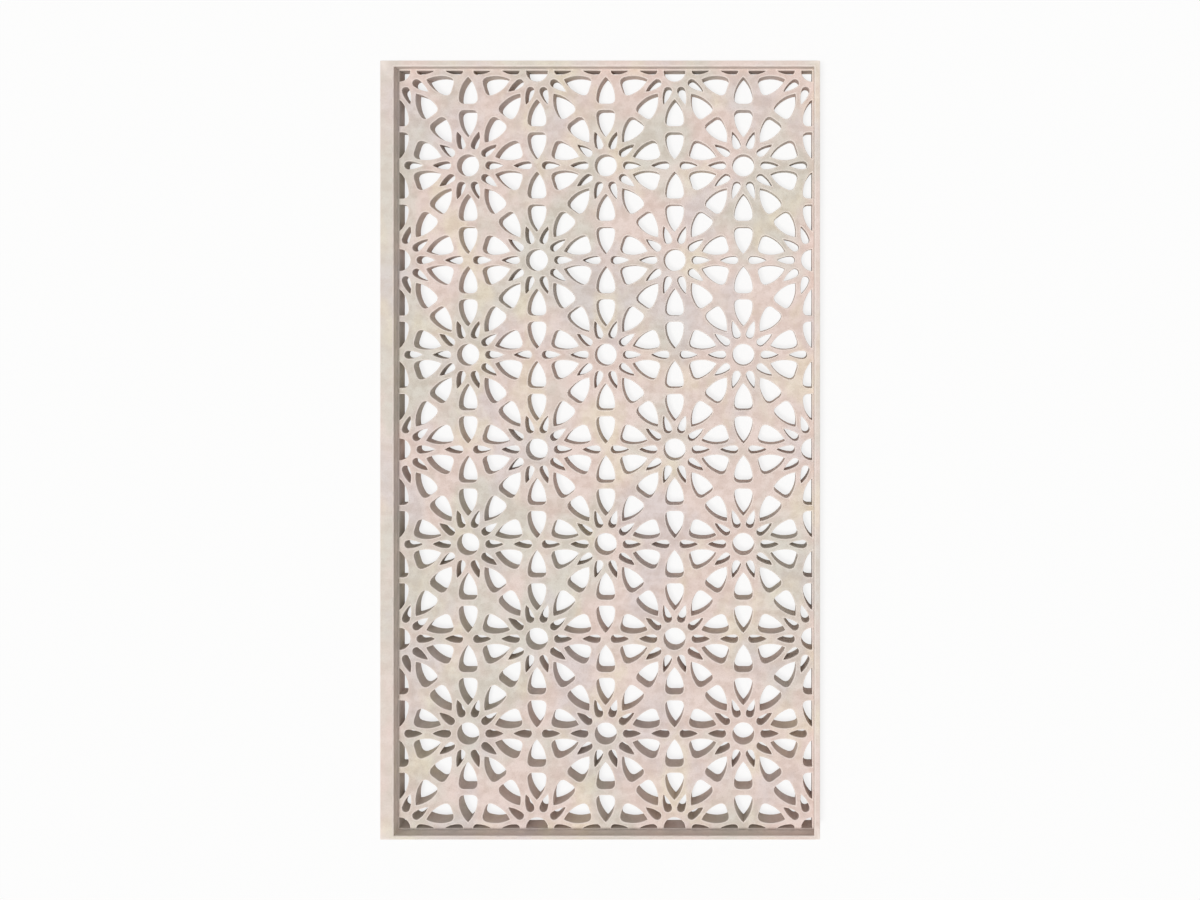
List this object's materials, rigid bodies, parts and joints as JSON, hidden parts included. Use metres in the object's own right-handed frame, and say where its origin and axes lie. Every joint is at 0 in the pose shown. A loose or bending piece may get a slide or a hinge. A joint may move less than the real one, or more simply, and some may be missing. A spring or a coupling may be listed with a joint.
{
  "type": "lattice screen panel",
  "caption": "Upright pierced stone panel with a sunk lattice of interlaced rosettes inside a raised plain border.",
  "frame": {"origin": "middle of the panel's flat back face", "axes": "+X across the panel's width, +Y up its height as it stands in a wall, +Z out of its carved face"},
  "size_m": [0.903, 1.5992, 0.05],
  "materials": {
    "sandstone": "fine rubbed sandstone, matt, pinkish beige"
  },
  "bodies": {
    "root": {"screen_panel": "sandstone"}
  },
  "joints": []
}
